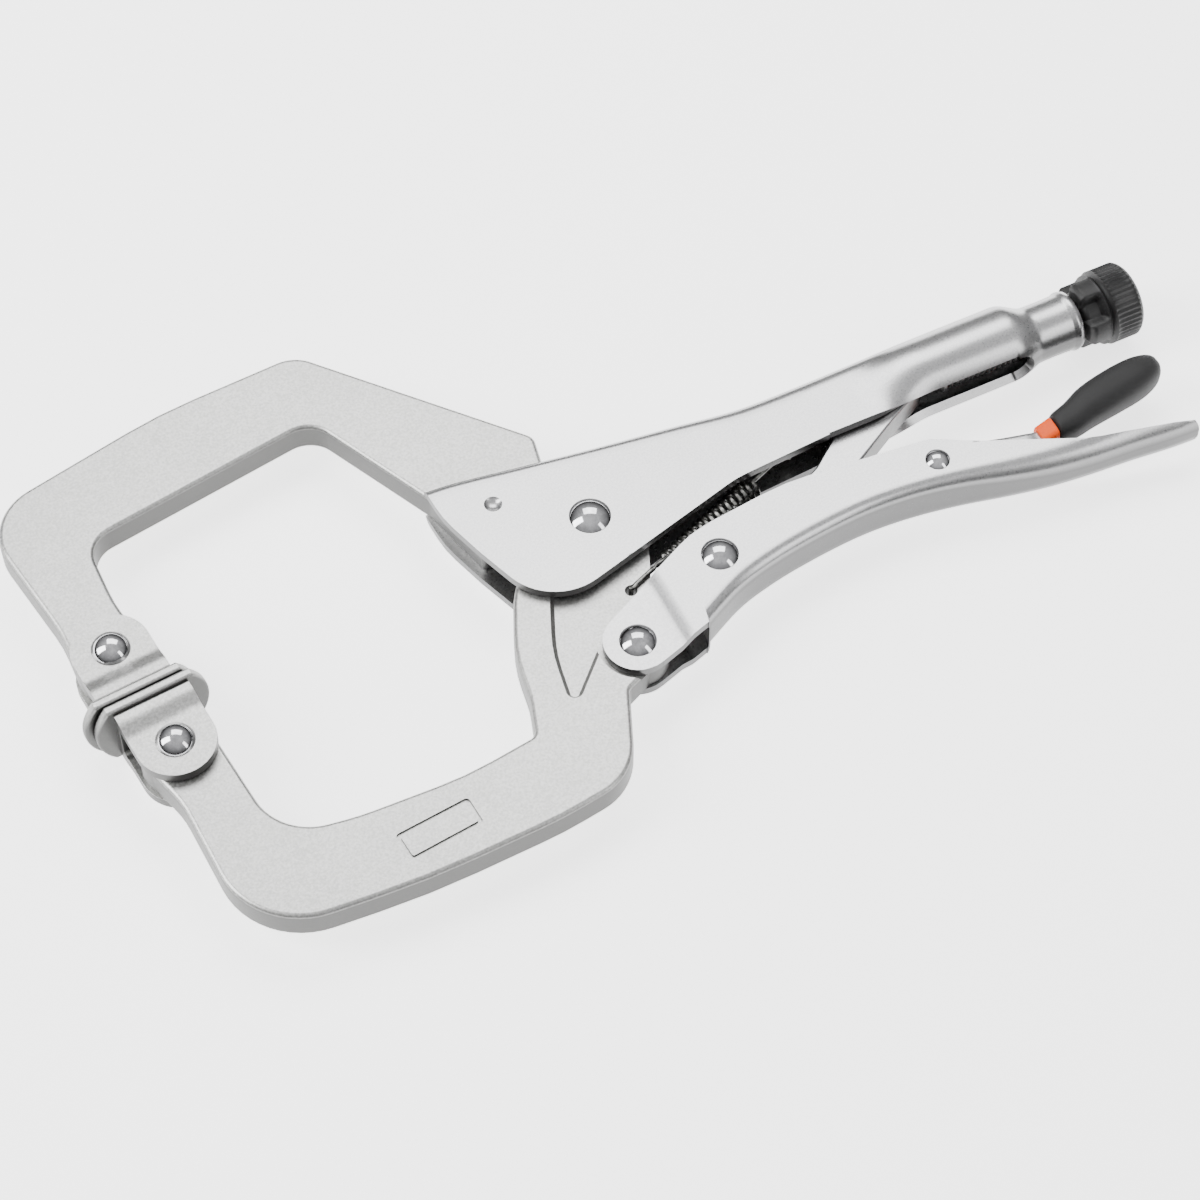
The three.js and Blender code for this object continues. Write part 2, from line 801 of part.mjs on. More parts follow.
rivet("link_pivot_rivet", linkPivot, 3, 4.4, 2.1, cheekHalf);
rivet("release_lever_rivet", leverPivot, 2.2, 2.9, 1.4, cheekHalf);
rivet("fixed_pad_rivet", fixedPadPivot, 2.6, 4.5, 2.9, padEarHalf);
rivet("moving_pad_rivet", movingPadPivot, 2.6, 4.5, 2.9, padEarHalf);

// The origin stands under the middle of the tool, on the surface that it lies on.
const bounds = new THREE.Box3().setFromObject(pliers);
const middle = bounds.getCenter(new THREE.Vector3());
pliers.position.set(-middle.x, -middle.y, -bounds.min.z);
const assembly = new THREE.Group();
assembly.add(pliers);

export default assembly;
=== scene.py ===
import json
import math

import bmesh
import bpy
from mathutils import Matrix, Vector


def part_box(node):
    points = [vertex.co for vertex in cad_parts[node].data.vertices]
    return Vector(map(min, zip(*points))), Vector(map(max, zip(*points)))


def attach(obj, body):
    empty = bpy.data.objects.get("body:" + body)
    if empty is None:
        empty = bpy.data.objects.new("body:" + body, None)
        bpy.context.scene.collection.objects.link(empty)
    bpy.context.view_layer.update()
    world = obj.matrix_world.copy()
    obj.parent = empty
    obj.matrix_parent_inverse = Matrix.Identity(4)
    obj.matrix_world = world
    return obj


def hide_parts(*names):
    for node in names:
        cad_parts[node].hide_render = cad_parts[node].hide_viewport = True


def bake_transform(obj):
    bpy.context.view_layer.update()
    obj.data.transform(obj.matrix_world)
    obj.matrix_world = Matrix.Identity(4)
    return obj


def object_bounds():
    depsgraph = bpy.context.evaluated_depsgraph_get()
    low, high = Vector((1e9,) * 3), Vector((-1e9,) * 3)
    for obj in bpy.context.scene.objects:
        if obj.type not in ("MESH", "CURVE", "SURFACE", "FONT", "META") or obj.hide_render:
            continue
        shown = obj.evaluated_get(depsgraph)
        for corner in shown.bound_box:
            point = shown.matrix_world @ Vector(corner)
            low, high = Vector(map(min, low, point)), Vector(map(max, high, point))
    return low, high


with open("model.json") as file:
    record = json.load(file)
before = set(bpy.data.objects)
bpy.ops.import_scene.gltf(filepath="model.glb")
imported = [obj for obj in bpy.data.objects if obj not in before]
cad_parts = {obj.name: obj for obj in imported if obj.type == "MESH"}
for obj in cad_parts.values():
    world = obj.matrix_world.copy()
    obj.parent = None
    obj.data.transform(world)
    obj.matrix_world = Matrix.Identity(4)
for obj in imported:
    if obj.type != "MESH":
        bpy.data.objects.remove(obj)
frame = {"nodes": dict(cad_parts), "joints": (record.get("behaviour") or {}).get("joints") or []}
cadLow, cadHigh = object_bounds()
joints = {joint["name"]: joint for joint in frame["joints"]}
print("frame loaded:", len(frame["nodes"]), "nodes")

# Pieces are modelled in millimetres round the main pivot: X to the knob, Y to the fixed handle.
millimetre = 0.001
mainPivot = Vector(joints["jaw_hinge"]["pos_m"])
toFrame = Matrix.Translation(mainPivot) @ Matrix.Scale(millimetre, 4)


def pivotOf(joint):
    at = (Vector(joints[joint]["pos_m"]) - mainPivot) / millimetre
    return (at.x, at.y)


handlePivot = pivotOf("handle_hinge")
linkPivot = pivotOf("link_hinge")
leverPivot = pivotOf("release_hinge")
fixedPadPivot = pivotOf("fixed_pad_swivel")
movingPadPivot = pivotOf("moving_pad_swivel")
screwAxisY = pivotOf("knob_turn")[1]

shared = {
    "cheekHalf": 6.5,  # half the outside width of both folded handles
    "sheet": 2.2,
    "sheetEdge": 0.35,  # rounding of the sheet's edges
    "softTurn": 50,  # degrees; an edge that turns by more is rounded
    "hair": 0.02,  # a cut goes this far past a face, so that no two faces coincide
    "earHalf": 5.2,  # half width over the lower handle's ears
    "earRadius": 8.0,
    "earRoom": 1.3,  # the recess round an ear, clear of the joggled cheek as the handle swings
    "jawHalf": 4.0,
    "jawEdge": 1.2,  # rounding of the forged edges
    "hubRadius": 13.0,
    "threadRadius": 4.7,
    "padEarHalf": 7.0,
}


def mix(a, b, t):
    return a + (b - a) * t


def smooth(x, low, high):
    t = min(max((x - low) / (high - low), 0.0), 1.0)
    return t * t * (3 - 2 * t)


# A value read between stations [x, value], with a smooth curve through them.
def along(stations, x, column=1):
    if x <= stations[0][0]:
        return stations[0][column]
    if x >= stations[-1][0]:
        return stations[-1][column]
    i = max(k for k, station in enumerate(stations) if station[0] <= x)
    near, far = stations[i], stations[i + 1]
    before, after = stations[max(i - 1, 0)], stations[min(i + 2, len(stations) - 1)]
    width = far[0] - near[0]
    t = (x - near[0]) / width
    slopeNear = (far[column] - before[column]) / (far[0] - before[0]) * width
    slopeFar = (after[column] - near[column]) / (after[0] - near[0]) * width
    return (
        (2 * t**3 - 3 * t**2 + 1) * near[column]
        + (t**3 - 2 * t**2 + t) * slopeNear
        + (3 * t**2 - 2 * t**3) * far[column]
        + (t**3 - t**2) * slopeFar
    )


# Corners (x, y, radius) become the points of an outline whose corners are arcs.
def roundCorners(corners, arcStep=7):
    points = []
    for i, (x, y, *rest) in enumerate(corners):
        here = Vector((x, y))
        if not rest:
            points.append(here)
            continue
        before = (Vector(corners[i - 1][:2]) - here).normalized()
        after = (Vector(corners[(i + 1) % len(corners)][:2]) - here).normalized()
        half = before.angle(after) / 2
        start = here + before * rest[0] / math.tan(half)
        centre = here + (before + after).normalized() * rest[0] / math.sin(half)
        sweep = math.pi - 2 * half
        side = -1 if before.cross(after) > 0 else 1
        steps = max(2, math.ceil(math.degrees(sweep) / arcStep))
        for k in range(steps + 1):
            spoke = start - centre
            spoke.rotate(Matrix.Rotation(side * sweep * k / steps, 2))
            points.append(centre + spoke)
    return points


def discPoints(centre, radius, sides=64):
    turns = [2 * math.pi * k / sides for k in range(sides)]
    return [Vector((centre[0] + radius * math.cos(a), centre[1] + radius * math.sin(a))) for a in turns]


def deselectAll():
    if bpy.context.mode != "OBJECT":
        bpy.ops.object.mode_set(mode="OBJECT")
    bpy.ops.object.select_all(action="DESELECT")


def named(name):
    piece = bpy.context.object
    piece.name = name
    piece.data.name = name
    return piece


def makeActive(piece):
    deselectAll()
    piece.select_set(True)
    bpy.context.view_layer.objects.active = piece


def applyModifier(piece, kind, **settings):
    makeActive(piece)
    modifier = piece.modifiers.new(kind.lower(), kind)
    for key, value in settings.items():
        setattr(modifier, key, value)
    bpy.ops.object.modifier_apply(modifier=modifier.name)
    return piece


# Rounds the edges that turn by more than softTurn.
def softenEdges(piece, width, segments):
    turn = math.radians(shared["softTurn"])
    return applyModifier(
        piece, "BEVEL", width=width, segments=segments, limit_method="ANGLE", angle_limit=turn)


# One solid cut, kept or joined by another, which is used up.
def combine(piece, other, operation="DIFFERENCE"):
    applyModifier(piece, "BOOLEAN", operation=operation, solver="EXACT", object=other)
    bpy.data.objects.remove(other)
    return piece


# A flat plate of an outline between two heights, its rims rounded by edge.
def plate(name, points, low, high, edge=0.0, segments=3):
    deselectAll()
    bpy.ops.mesh.primitive_circle_add(vertices=len(points), fill_type="NGON")
    piece = named(name)
    for vertex, point in zip(piece.data.vertices, points):
        vertex.co = (point.x, point.y, low)
    bpy.ops.object.mode_set(mode="EDIT")
    bpy.ops.mesh.select_all(action="SELECT")
    bpy.ops.mesh.extrude_region_move(TRANSFORM_OT_translate={"value": (0, 0, high - low)})
    bpy.ops.mesh.select_all(action="SELECT")
    bpy.ops.mesh.remove_doubles(threshold=0.002)
    bpy.ops.mesh.normals_make_consistent(inside=False)
    if edge:
        bpy.ops.mesh.select_mode(type="EDGE")
        bpy.ops.mesh.select_all(action="DESELECT")
        shape = bmesh.from_edit_mesh(piece.data)
        for rim in shape.edges:
            a, b = (v.co.z for v in rim.verts)
            rim.select_set(abs(a - b) < 1e-4)
        bmesh.update_edit_mesh(piece.data)
        bpy.ops.mesh.bevel(offset=edge, segments=segments, profile=0.5, affect="EDGES", clamp_overlap=True)
        bpy.ops.mesh.select_mode(type="VERT")
    bpy.ops.object.mode_set(mode="OBJECT")
    return piece


# A cutter whose sides lean out by grow from its floor, at the Z of floor, to its top, at the Z of top.
def leaningCutter(name, points, floor, top, grow):
    count = len(points)
    area = sum(points[k - 1].cross(points[k]) for k in range(count))
    outward = math.copysign(1, area)
    wide = []
    for k in range(count):
        before = (points[k] - points[k - 1]).normalized()
        after = (points[(k + 1) % count] - points[k]).normalized()
        way = (before + after).normalized()
        wide.append(points[k] + Vector((way.y, -way.x)) * outward * grow / max(way.dot(before), 0.6))
    low, high = sorted((floor, top))
    cutter = plate(name, points, low, high)
    for vertex in cutter.data.vertices:
        if abs(vertex.co.z - top) < 1e-4:
            nearest = min(range(count), key=lambda k: (points[k] - vertex.co.xy).length)
            vertex.co.x, vertex.co.y = wide[nearest]
    return cutter


def drum(name, centre, radius, low=-12.0, high=12.0, sides=64):
    deselectAll()
    place = (centre[0], centre[1], (low + high) / 2)
    bpy.ops.mesh.primitive_cylinder_add(vertices=sides, radius=radius, depth=high - low, location=place)
    bpy.ops.object.transform_apply(location=True, rotation=True, scale=True)
    return named(name)


def block(name, low, high):
    deselectAll()
    middle = [(a + b) / 2 for a, b in zip(low, high)]
    bpy.ops.mesh.primitive_cube_add(size=1, location=middle, scale=[b - a for a, b in zip(low, high)])
    bpy.ops.object.transform_apply(location=True, rotation=True, scale=True)
    return named(name)


# A skin of columns by rows, each point placed by its column and row.
def skin(name, columns, rows, place, closed=False):
    deselectAll()
    bpy.ops.mesh.primitive_grid_add(x_subdivisions=columns - 1, y_subdivisions=rows - 1, size=1)
    piece = named(name)
    for vertex in piece.data.vertices:
        column = round((vertex.co.x + 0.5) * (columns - 1))
        row = round((vertex.co.y + 0.5) * (rows - 1))
        vertex.co = place(column, row)
    bpy.ops.object.mode_set(mode="EDIT")
    bpy.ops.mesh.select_all(action="SELECT")
    bpy.ops.mesh.remove_doubles(threshold=0.002)
    bpy.ops.mesh.dissolve_degenerate(threshold=0.001)
    if closed:
        bpy.ops.mesh.select_all(action="SELECT")
        bpy.ops.mesh.normals_make_consistent(inside=False)
    bpy.ops.object.mode_set(mode="OBJECT")
    return piece


# Rings (x, radius) turned round the screw's axis; relief(x, angle) is taken off the radius.
def turned(name, rings, around, relief=None, axisY=None):
    middle = screwAxisY if axisY is None else axisY

    def place(column, row):
        x, radius = rings[column]
        a = 2 * math.pi * row / around
        if relief:
            radius = max(radius - relief(x, radius, a), 0.0)
        return (x, middle + radius * math.cos(a), radius * math.sin(a))

    return skin(name, len(rings), around + 1, place, closed=True)


# A cut that fails can leave nothing, or half a piece, so each piece is held against its solid.
largestMiss = 2.5 * millimetre


def checkAgainstSolid(piece, node):
    solidLow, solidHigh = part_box(node)
    if not piece.data.polygons:
        raise ValueError(piece.name + " has no faces left")
    for k in range(3):
        reach = [vertex.co[k] for vertex in piece.data.vertices]
        miss = max(abs(min(reach) - solidLow[k]), abs(max(reach) - solidHigh[k]))
        if miss > largestMiss:
            raise ValueError(f"{piece.name} misses {node} by {miss / millimetre:.2f} mm on axis {k}")


def finishPiece(piece, body, finish, replaced, angle=32, matrix=toFrame):
    piece.data.transform(matrix)
    checkAgainstSolid(piece, replaced)
    makeActive(piece)
    bpy.ops.object.shade_smooth_by_angle(angle=math.radians(angle))
    applyModifier(piece, "WEIGHTED_NORMAL", keep_sharp=True, weight=60)
    piece.data.materials.clear()
    piece.data.materials.append(finish)
    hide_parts(replaced)
    if body:
        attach(piece, body)
    return piece


# Finishes
def colour(hexText):
    channels = [int(hexText[i : i + 2], 16) / 255 for i in (1, 3, 5)]
    linear = [c / 12.92 if c <= 0.04045 else ((c + 0.055) / 1.055) ** 2.4 for c in channels]
    return (*linear, 1.0)


def addNode(tree, kind, settings=None, links=None):
    node = tree.nodes.new(kind)
    for key, value in (settings or {}).items():
        if isinstance(key, int) or key in node.inputs:
            node.inputs[key].default_value = value
        else:
            setattr(node, key, value)
    for key, source in (links or {}).items():
        tree.links.new(source, node.inputs[key])
    return node


def perMetre(sizeMm):
    return 1000.0 / sizeMm


# A surface of one base colour with grain in its colour, roughness and height, all sized in millimetres.
def grainedSurface(name, look):
    made = bpy.data.materials.new(name)
    made.use_nodes = True
    tree = made.node_tree
    shader = tree.nodes["Principled BSDF"]
    for socket, value in look["shader"].items():
        shader.inputs[socket].default_value = value
    place = addNode(tree, "ShaderNodeTexCoord").outputs["Object"]
    grain = addNode(
        tree,
        "ShaderNodeTexNoise",
        {"Scale": perMetre(look["grainMm"]), "Detail": 3.0, "Roughness": 0.6},
        {"Vector": place},
    )
    patches = addNode(
        tree,
        "ShaderNodeTexNoise",
        {"Scale": perMetre(look["patchMm"]), "Detail": 2.0, "Roughness": 0.5},
        {"Vector": place},
    )
    both = addNode(
        tree,
        "ShaderNodeMath",
        {"operation": "MULTIPLY_ADD", 1: look["patchShare"]},
        {0: patches.outputs["Fac"], 2: grain.outputs["Fac"]},
    )
    tone = addNode(
        tree,
        "ShaderNodeMapRange",
        {"From Min": 0.35 + look["patchShare"] * 0.5, "From Max": 0.65 + look["patchShare"] * 0.5},
        {"Value": both.outputs[0]},
    )
    shade = addNode(
        tree,
        "ShaderNodeMix",
        {"data_type": "RGBA", 6: colour(look["dark"]), 7: colour(look["light"])},
        {0: tone.outputs["Result"]},
    )
    surface = shade.outputs[2]
    if "wall" in look:
        # painted shade: flanks stand along the tool's thickness, so their normals have little Z; their
        # colour is darkened towards the wall colour to stand in for the shade they fall into
        normal = addNode(tree, "ShaderNodeTexCoord").outputs["Normal"]
        parts = addNode(tree, "ShaderNodeSeparateXYZ", links={0: normal})
        upright = addNode(tree, "ShaderNodeMath", {"operation": "ABSOLUTE"}, {0: parts.outputs["Z"]})
        faceShare = addNode(
            tree, "ShaderNodeMapRange", {"From Min": 0.15, "From Max": 0.85}, {"Value": upright.outputs[0]})
        paintedWallShade = addNode(
            tree,
            "ShaderNodeMix",
            {"data_type": "RGBA", 6: colour(look["wall"])},
            {0: faceShare.outputs["Result"], 7: surface},
        )
        surface = paintedWallShade.outputs[2]
    tree.links.new(surface, shader.inputs["Base Color"])
    rough = addNode(
        tree,
        "ShaderNodeMapRange",
        {"To Min": look["roughness"][0], "To Max": look["roughness"][1]},
        {"Value": grain.outputs["Fac"]},
    )
    tree.links.new(rough.outputs["Result"], shader.inputs["Roughness"])
    bump = addNode(
        tree,
        "ShaderNodeBump",
        {"Strength": look["bump"], "Distance": look["bumpMm"] * millimetre},
        {"Height": grain.outputs["Fac"]},
    )
    tree.links.new(bump.outputs["Normal"], shader.inputs["Normal"])
    return made


# Forged, blasted, then nickel plated: pale and even with a fine sparkle.
# The grit is drawn coarser than it is, so that it shows.
nickelPlatedForging = grainedSurface("nickelPlatedForging", {
    "shader": {"Metallic": 1.0},
    # wall is painted shade: the dark colour that the flanks are tinted towards
    "dark": "#a8a8a6", "light": "#c8c8c6", "wall": "#565655",
    "grainMm": 0.6, "patchMm": 9.0, "patchShare": 0.12,
    "roughness": (0.32, 0.46), "bump": 0.3, "bumpMm": 0.05,
})
# Pressed sheet, nickel plated: smoother than the forgings, so that round parts carry streaks of light.
nickelPlatedSheet = grainedSurface("nickelPlatedSheet", {
    "shader": {"Metallic": 1.0},
    # wall is painted shade: the dark colour that the flanks are tinted towards
    "dark": "#b2b2b3", "light": "#c6c6c6", "wall": "#626262",
    "grainMm": 0.5, "patchMm": 12.0, "patchShare": 0.12,
    "roughness": (0.24, 0.34), "bump": 0.12, "bumpMm": 0.04,
})
# Headed and polished steel: a near mirror, with faint drawing marks.
polishedSteel = grainedSurface("polishedSteel", {
    "shader": {"Metallic": 1.0},
    "dark": "#b9b9bb", "light": "#d6d6d8",
    "grainMm": 1.6, "patchMm": 4.0, "patchShare": 0.3,
    "roughness": (0.06, 0.13), "bump": 0.04, "bumpMm": 0.03,
})
# Cold drawn spring wire: darker grey, with a low sheen.
drawnSpringWire = grainedSurface("drawnSpringWire", {
    "shader": {"Metallic": 1.0},
    "dark": "#5c5c5a", "light": "#9c9c98",
    "grainMm": 0.9, "patchMm": 5.0, "patchShare": 0.4,
    "roughness": (0.28, 0.42), "bump": 0.1, "bumpMm": 0.03,
})
# Glass filled nylon, spark eroded mould: black with an even fine texture.
mouldedNylon = grainedSurface("mouldedNylon", {
    "shader": {"Metallic": 0.0, "IOR": 1.53},
    "dark": "#050505", "light": "#0c0c0d",
    "grainMm": 0.6, "patchMm": 6.0, "patchShare": 0.3,
    "roughness": (0.42, 0.6), "bump": 0.45, "bumpMm": 0.08,
})
# Dipped soft vinyl: dark grey and matte, with slow changes of tone.
softVinyl = grainedSurface("softVinyl", {
    "shader": {"Metallic": 0.0, "IOR": 1.5, "Sheen Weight": 0.08},
    "dark": "#0c0c0c", "light": "#161617",
    "grainMm": 0.8, "patchMm": 7.0, "patchShare": 0.5,
    "roughness": (0.55, 0.72), "bump": 0.3, "bumpMm": 0.06,
})
# Orange vinyl of the same grip.
orangeVinyl = grainedSurface("orangeVinyl", {
    "shader": {"Metallic": 0.0, "IOR": 1.5, "Specular IOR Level": 0.3},
    "dark": "#f25000", "light": "#fb5e00",
    "grainMm": 0.8, "patchMm": 5.0, "patchShare": 0.4,
    "roughness": (0.4, 0.55), "bump": 0.15, "bumpMm": 0.04,
})
print("finishes made")

# Fixed jaw
fixedJaw = {
    "arm": [
        (-122, 14.8), (-121.5, 26, 40), (-127.3, 64.2, 14.5), (-78, 74.3, 120), (-42, 76.1, 9.5),
        (-0.8, 28.4, 3.4), (-3.1, 17), (-3.1, 3), (-26, 3, 1.5), (-30.7, 22.4, 6),
        (-46.5, 55.8, 7.5), (-106.9, 46.6, 7), (-107.3, 27, 40), (-104.4, 14.8),
    ],
    "tipRadius": 8.8,
    "hubGap": 0.7,
    "pinHole": 2.75,
}


def makeFixedJaw(cfg):
    half, edge = shared["jawHalf"], shared["jawEdge"]
    body = plate("fixedJaw", roundCorners(cfg["arm"]), -half, half, edge, 4)
    tip = plate("tip", discPoints(fixedPadPivot, cfg["tipRadius"]), -half, half, edge, 4)
    combine(body, tip, "UNION")
    combine(body, drum("hub", (0, 0), shared["hubRadius"] + cfg["hubGap"], sides=96))
    combine(body, drum("pinHole", fixedPadPivot, cfg["pinHole"]))
    return finishPiece(body, "frame", nickelPlatedForging, "fixed_jaw")


makeFixedJaw(fixedJaw)

# Moving jaw
movingJaw = {
    "arm": [
        (-12, 3), (-19.6, -3.2, 3), (-25.4, -11.6, 25), (-31.6, -25, 40), (-33.5, -37, 20),
        (-36.7, -46.6, 2.2), (-55, -48.9, 80), (-80, -47.8, 60), (-97.8, -45, 14), (-100.7, -14),
        (-118, -14), (-114, -28, 25), (-112.9, -66, 20), (-73, -69.4, 200), (-40, -68.4, 100),
        (-21.2, -65.8, 15), (-12.3, -45.2, 2), (-6, -42.4), (2.1, -35), (5, -21.5, 6), (12, -6), (0, 8),
    ],
    "step": [
        (-11, -5), (-17.2, -16.3, 40), (-22.6, -28.5, 40), (-25.1, -42.9, 1),
        (-11.1, -29.2), (-5.2, -35), (16, -48), (16, -5),
    ],
    "tangHalf": 2.75,
    "stepLean": 1.5,
    "earShow": 0.6,  # how far the handle's ear shows past the tang
    "tipRadius": 8.6,
    "mainHole": 3.65,
    "handleHole": 3.15,
    "pinHole": 2.75,
    "springHole": (0.3, -20.7, 1.5),
    # a plain stamped frame: its corners, the width of its line and its depth
    "panel": [(-75.3, -56.2, 1), (-56.9, -54.5, 1), (-56.4, -61.9, 1), (-74.8, -63.6, 1)],
    "panelLine": 0.9,
    "panelDepth": 0.5,
}


def makeMovingJaw(cfg):
    half, edge = shared["jawHalf"], shared["jawEdge"]
    body = plate("movingJaw", roundCorners(cfg["arm"]), -half, half, edge, 4)
    rounds = [
        ((0, 0), shared["hubRadius"]),
        (handlePivot, shared["earRadius"] - cfg["earShow"]),
        (movingPadPivot, cfg["tipRadius"]),
    ]
    for centre, radius in rounds:
        combine(body, plate("boss", discPoints(centre, radius, 96), -half, half, 0.8, 3), "UNION")
    for side in (1, -1):
        low, high = sorted((side * cfg["tangHalf"], side * 12))
        top = side * (half + 0.6)
        floor = side * cfg["tangHalf"]
        recess = leaningCutter("recess", roundCorners(cfg["step"]), floor, top, cfg["stepLean"])
        earRoom = shared["earRadius"] + shared["earRoom"]
        combine(recess, drum("earRoom", handlePivot, earRoom, low, high), "UNION")
        combine(recess, drum("hub", (0, 0), shared["hubRadius"] + 0.1, low - 1, high + 1, 96))
        combine(body, recess)
    holes = [((0, 0), cfg["mainHole"]), (handlePivot, cfg["handleHole"]), (movingPadPivot, cfg["pinHole"])]
    for centre, radius in [*holes, (cfg["springHole"][:2], cfg["springHole"][2])]:
        combine(body, drum("hole", centre, radius))
    corners = cfg["panel"]
    frameMiddle = Vector((sum(c[0] for c in corners) / 4, sum(c[1] for c in corners) / 4))
    floorOfLine = half - cfg["panelDepth"]
    outer = plate("panel", roundCorners(corners), floorOfLine, half + 1)
    inset = []
    for x, y, radius in corners:
        away = Vector((x, y)) - frameMiddle
        away = Vector((math.copysign(cfg["panelLine"], away.x), math.copysign(cfg["panelLine"], away.y)))
        inset.append((x - away.x, y - away.y, radius * 0.5))
    combine(outer, plate("middle", roundCorners(inset), floorOfLine - 1, half + 2))
    combine(body, outer)
    return finishPiece(body, "jaw", nickelPlatedForging, "moving_jaw")


makeMovingJaw(movingJaw)
print("jaws made")

# Fixed handle: one folded skin that closes into the barrel and the threaded collar
fixedHandle = {
    "back": [
        (-34, 24.4), (-25, 23.8), (-10, 21.4), (10, 18.3), (30, 15.8), (45, 13.9), (60, 13.7), (74, 13.9),
    ],
    "side": [
        (-31.4, 26, 1.5), (-30.9, 14.5, 30), (-27.2, 2, 60), (-19.4, -19.9, 14.5), (35.5, -5.5, 25),
        (62, -3.9), (62, -30), (140, -30), (140, 30), (-31.4, 30),
    ],
    "barrel": (9.5, 5.4),  # radius, height of its axis
    "lipDepth": 8.1,  # from the barrel's axis down to the edges of its slot
    "neck": [
        (91, 9.5), (113, 9.5), (115.5, 9.35), (117.5, 8.7), (119.5, 7.8), (121.2, 7.2), (130.6, 7.2),
        (131.1, 7.5), (131.6, 7.6), (132.1, 7.5), (132.8, 7.2),
    ],
    "slotEnd": 118.2,
    "slotHalf": 4.4,
    "bend": (2.7, 4.0),
    "lips": (24, 3.6),  # how far below the main pivot the cheeks are folded, before and past lipStep
    "lipStep": 61,
    "stake": (-18.7, 13.0),
    "pinHole": 3.65,
}


def foldedPoint(t, half, bend, depth):
    if t < 0.12:
        return (0.0, mix(0, half - bend, t / 0.12))
    if t < 0.4:
        a = (t - 0.12) / 0.28 * math.pi / 2
        return (bend - bend * math.cos(a), half - bend + bend * math.sin(a))
    return (mix(bend, depth, (t - 0.4) / 0.6), half)


# A filled bar with the outside of a folded channel; section(x) gives back, half width, bend and depth.
def foldedSolid(name, stations, perSide, section):
    around = 2 * perSide + 1

    def place(column, row):
        x = stations[min(max(column - 1, 0), len(stations) - 1)]
        back, half, bend, depth = section(x)
        if column in (0, len(stations) + 1):  # each end is closed by a ring drawn in to its middle
            return (x, back + depth / 2, 0)
        row %= around
        down, z = foldedPoint(abs(row - perSide) / perSide, half, bend, depth)
        return (x, back + down, z if row > perSide else -z)

    return skin(name, len(stations) + 2, around + 1, place, closed=True)


def tubePoint(t, radius, lipAngle):
    if t < 0.12:
        a = mix(0, 0.35, t / 0.12)
    elif t < 0.4:
        a = mix(0.35, 0.85, (t - 0.12) / 0.28)
    else:
        a = mix(0.85, lipAngle, (t - 0.4) / 0.6)
    return (radius - radius * math.cos(a), radius * math.sin(a))


def makeFixedHandle(cfg):
    barrelRadius, barrelY = cfg["barrel"]
    stations = [-34 + 2.0 * k for k in range(47)] + [60.9, 61.1]
    stations += [62 + 1.5 * k for k in range(34)] + [112.6 + 0.35 * k for k in range(17)]
    stations += [119, 119.8, 120.6, 121.2, 122, 126, 130.2, 130.6, 131.1, 131.6, 132.1, 132.8]
    stations = sorted(set(stations))
    perSide = 26

    def place(column, row):
        x = stations[column]
        t = abs(row - perSide) / perSide
        side = 1 if row < perSide else -1  # from the +Z lip over the back, so that the skin faces out
        becoming = smooth(x, 72, 91)
        radius = along(cfg["neck"], x)
        axisY = mix(barrelY, screwAxisY, smooth(x, 115, 121))
        room = cfg["slotEnd"] - x
        straight = math.acos(-cfg["lipDepth"] / barrelRadius)
        if room <= 0:
            lipAngle = math.pi
        elif room < cfg["slotHalf"]:
            halfOpen = math.sqrt(cfg["slotHalf"] ** 2 - (cfg["slotHalf"] - room) ** 2)
            lipAngle = max(math.pi - math.asin(min(halfOpen / radius, 1)), straight)
        else:
            lipAngle = straight
        top = mix(along(cfg["back"], x), axisY + radius, becoming)
        bend = mix(*cfg["bend"], smooth(x, 0, 60))
        depth = top + cfg["lips"][0 if x < cfg["lipStep"] else 1]
        flat = foldedPoint(t, shared["cheekHalf"], bend, depth)
        tube = tubePoint(t, radius, lipAngle)
        depth, z = (mix(a, b, becoming) for a, b in zip(flat, tube))
        return (x, top - depth, side * z)

    body = skin("fixedHandle", len(stations), 2 * perSide + 1, place)
    applyModifier(body, "SOLIDIFY", thickness=shared["sheet"], offset=-1.0, use_even_offset=True)
    combine(body, plate("side", roundCorners(cfg["side"]), -15, 15), "INTERSECT")
    inside = shared["cheekHalf"] - shared["sheet"] + shared["hair"]
    combine(body, block("jawRoom", (-40, -2, -inside), (-1.8, 40, inside)))
    combine(body, drum("pinHole", (0, 0), cfg["pinHole"]))
    deselectAll()
    bpy.ops.mesh.primitive_uv_sphere_add(
        segments=32, ring_count=20, radius=3.0, location=(*cfg["stake"], shared["cheekHalf"] + 2.1))
    bpy.ops.object.transform_apply(location=True, rotation=True, scale=True)
    combine(body, named("stake"))
    softenEdges(body, shared["sheetEdge"], 2)
    return finishPiece(body, "frame", nickelPlatedSheet, "fixed_handle")


makeFixedHandle(fixedHandle)

# Lower handle
lowerHandle = {
    "back": [
        (-16, -62), (6.8, -62), (12, -37.6), (23, -32.3), (33, -29.6), (43, -28), (55, -26.9), (64, -26.9),
        (74, -27.9), (84, -29.9), (94, -32.6), (104, -34.9), (114, -36.3), (126, -37.2), (136, -38.2),
        (144, -38.6),
    ],
    "side": [
        (-8.6, -27.7), (19.5, -14.4, 30), (45, -11.7, 60), (81.5, -15.5, 14), (91.4, -21.2, 20),
        (115.5, -32.1, 25), (145, -38), (145, -50), (12.5, -50), (11, -38.4), (-2.6, -42.6), (-5.2, -35),
    ],
    "belowEar": [(5, -55), (15.5, -55), (12.6, -38.05), (10.9, -38.6), (5, -40.8)],
    "plan": [(-20, -12), (142.6, -7.2, 6.4), (142.6, 7.2, 6.4), (-20, 12)],
    "bend": (3.2, 5.6),
    "lips": -8,  # height to which the cheeks are folded, before the side outline trims them
    "holes": [("handle", 3.15), ("link", 3.15), ("lever", 2.35)],
}


